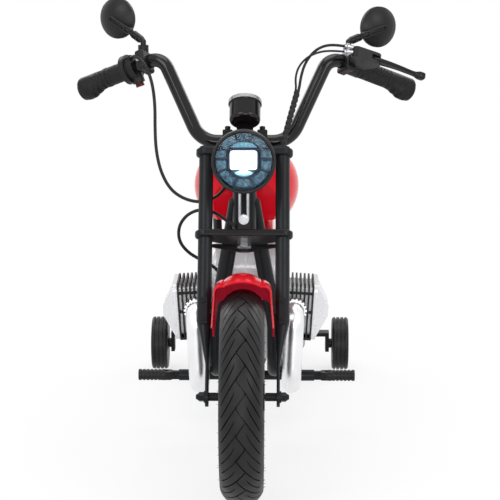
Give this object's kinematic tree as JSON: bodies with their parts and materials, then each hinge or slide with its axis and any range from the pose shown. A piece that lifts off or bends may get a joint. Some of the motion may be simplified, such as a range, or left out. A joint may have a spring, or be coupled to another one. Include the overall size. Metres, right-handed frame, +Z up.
{
  "type": "kids electric motorbike",
  "caption": "Child's chopper-style electric motorbike with high handlebar, raked fork, dummy boxer engine, hub motor, stabiliser wheels and folding foot pegs.",
  "frame": {"origin": "on the ground under the middle of the motorbike's bounding box", "axes": "+X to the rider's left, +Y to the rear, +Z up; the front wheel points to -Y"},
  "size_m": [0.5694, 1.0839, 0.736],
  "materials": {
    "tyre_rubber": "moulded black rubber with tread",
    "cast_rim": "satin black casting",
    "frame_paint": "satin black powder coat",
    "bar_paint": "gloss black",
    "red_shell": "gloss red",
    "silver_shell": "bright silver coat",
    "black_plastic": "moulded black, fine grain",
    "black_steel": "semi-gloss black",
    "hard_rubber": "matt black",
    "bright_steel": "zinc and chrome plate",
    "lamp_lens": "clear",
    "tail_lens": "clear red",
    "button_red": "gloss red",
    "seat_vinyl": "black grained vinyl",
    "cable_sheath": "black sheath"
  },
  "bodies": {
    "frame": {"frame_spine": "frame_paint", "cradle_tubes": "frame_paint", "rear_stays": "frame_paint", "headset_cups": "bright_steel", "engine_case_left": "silver_shell", "engine_case_right": "silver_shell", "battery_pack": "black_plastic", "motor_controller": "black_plastic", "cylinder_fins": "black_plastic", "valve_covers": "silver_shell", "exhausts": "silver_shell", "fuel_tank": "red_shell", "tank_cap": "bright_steel", "seat_pan": "black_plastic", "seat_cushion": "seat_vinyl", "rear_fender": "red_shell", "tail_light": "tail_lens", "rear_axle": "bright_steel", "rear_brake": "black_steel", "stabiliser_brackets": "frame_paint", "footpeg_bar": "frame_paint", "pivot_bolts": "bright_steel", "wiring_loop": "cable_sheath"},
    "steering": {"steering_stem": "frame_paint", "upper_clamp": "frame_paint", "fork_legs": "frame_paint", "front_axle": "bright_steel", "front_fender": "red_shell", "fork_fasteners": "bright_steel", "headlight_housing": "black_plastic", "headlight_lens": "lamp_lens", "headlight_mask": "black_plastic", "headlight_bracket": "bright_steel", "handlebar": "bar_paint", "bar_clamps": "frame_paint", "gauge_pod": "black_plastic", "gauge_bezel": "bright_steel", "grip_left": "hard_rubber", "grip_right": "hard_rubber", "throttle_housing": "black_plastic", "lever_perch": "black_plastic", "mirror_clamps": "black_plastic", "throttle_cable": "cable_sheath", "brake_cables": "cable_sheath", "cable_wrap": "cable_sheath"},
    "front_wheel": {"front_tyre": "tyre_rubber", "front_wheel": "cast_rim"},
    "rear_wheel": {"rear_tyre": "tyre_rubber", "rear_wheel": "cast_rim"},
    "stabiliser_wheel_left": {"stabiliser_wheel_left": "hard_rubber"},
    "stabiliser_wheel_right": {"stabiliser_wheel_right": "hard_rubber"},
    "footpeg_left": {"footpeg_left": "hard_rubber"},
    "footpeg_right": {"footpeg_right": "hard_rubber"},
    "brake_lever": {"brake_lever": "black_steel"},
    "throttle_sleeve": {"throttle_sleeve": "hard_rubber"},
    "throttle_button": {"throttle_button": "button_red"},
    "mirror_arm_left": {"mirror_arm_left": "black_steel"},
    "mirror_arm_right": {"mirror_arm_right": "black_steel"},
    "mirror_head_left": {"mirror_head_left": "black_plastic"},
    "mirror_head_right": {"mirror_head_right": "black_plastic"}
  },
  "joints": [
    {"name": "steer", "type": "hinge", "parent": "frame", "child": "steering", "pos_m": [0, -0.35298, 0.14842], "axis": [0, 0.4695, 0.8829], "range_deg": [-35, 35], "deforming": ["wiring_loop"]},
    {"name": "front_wheel_spin", "type": "hinge", "parent": "steering", "child": "front_wheel", "pos_m": [0, -0.37947, 0.1625], "axis": [1, 0, 0], "continuous": true},
    {"name": "rear_wheel_spin", "type": "hinge", "parent": "frame", "child": "rear_wheel", "pos_m": [0, 0.36053, 0.1625], "axis": [1, 0, 0], "continuous": true},
    {"name": "stabiliser_left_spin", "type": "hinge", "parent": "frame", "child": "stabiliser_wheel_left", "pos_m": [0.172, 0.36053, 0.05], "axis": [1, 0, 0], "continuous": true},
    {"name": "footpeg_left_fold", "type": "hinge", "parent": "frame", "child": "footpeg_left", "pos_m": [0.13, -0.02947, 0.097], "axis": [0, -1, 0], "range_deg": [0, 85]},
    {"name": "stabiliser_right_spin", "type": "hinge", "parent": "frame", "child": "stabiliser_wheel_right", "pos_m": [-0.172, 0.36053, 0.05], "axis": [1, 0, 0], "continuous": true},
    {"name": "footpeg_right_fold", "type": "hinge", "parent": "frame", "child": "footpeg_right", "pos_m": [-0.13, -0.02947, 0.097], "axis": [0, 1, 0], "range_deg": [0, 85]},
    {"name": "brake_lever_squeeze", "type": "hinge", "parent": "steering", "child": "brake_lever", "pos_m": [0.2041, -0.11932, 0.64351], "axis": [0.1407, 0.495, 0.8574], "range_deg": [0, 18], "stiffness_Nm_per_rad": 1, "springref_deg": -5.73},
    {"name": "throttle_twist", "type": "hinge", "parent": "steering", "child": "throttle_sleeve", "pos_m": [-0.22186, -0.06514, 0.60931], "axis": [-0.8525, 0.3799, -0.3592], "range_deg": [0, 70], "stiffness_Nm_per_rad": 0.3},
    {"name": "throttle_button_press", "type": "slide", "parent": "steering", "child": "throttle_button", "axis": [-0.3281, 0.1462, 0.9333], "range_m": [0, 0.002], "stiffness_N_per_m": 400},
    {"name": "mirror_arm_left_swing", "type": "hinge", "parent": "steering", "child": "mirror_arm_left", "pos_m": [0.16489, -0.0872, 0.65122], "axis": [0, 0, 1], "range_deg": [-30, 30]},
    {"name": "mirror_head_left_tilt", "type": "hinge", "parent": "mirror_arm_left", "child": "mirror_head_left", "pos_m": [0.18636, -0.07481, 0.67704], "axis": [0.8259, 0.4769, 0.3007], "range_deg": [-20, 20]},
    {"name": "mirror_arm_right_swing", "type": "hinge", "parent": "steering", "child": "mirror_arm_right", "pos_m": [-0.16489, -0.0872, 0.65122], "axis": [0, 0, 1], "range_deg": [-30, 30]},
    {"name": "mirror_head_right_tilt", "type": "hinge", "parent": "mirror_arm_right", "child": "mirror_head_right", "pos_m": [-0.18429, -0.076, 0.68242], "axis": [-0.7462, 0.4308, 0.5075], "range_deg": [-20, 20]}
  ]
}
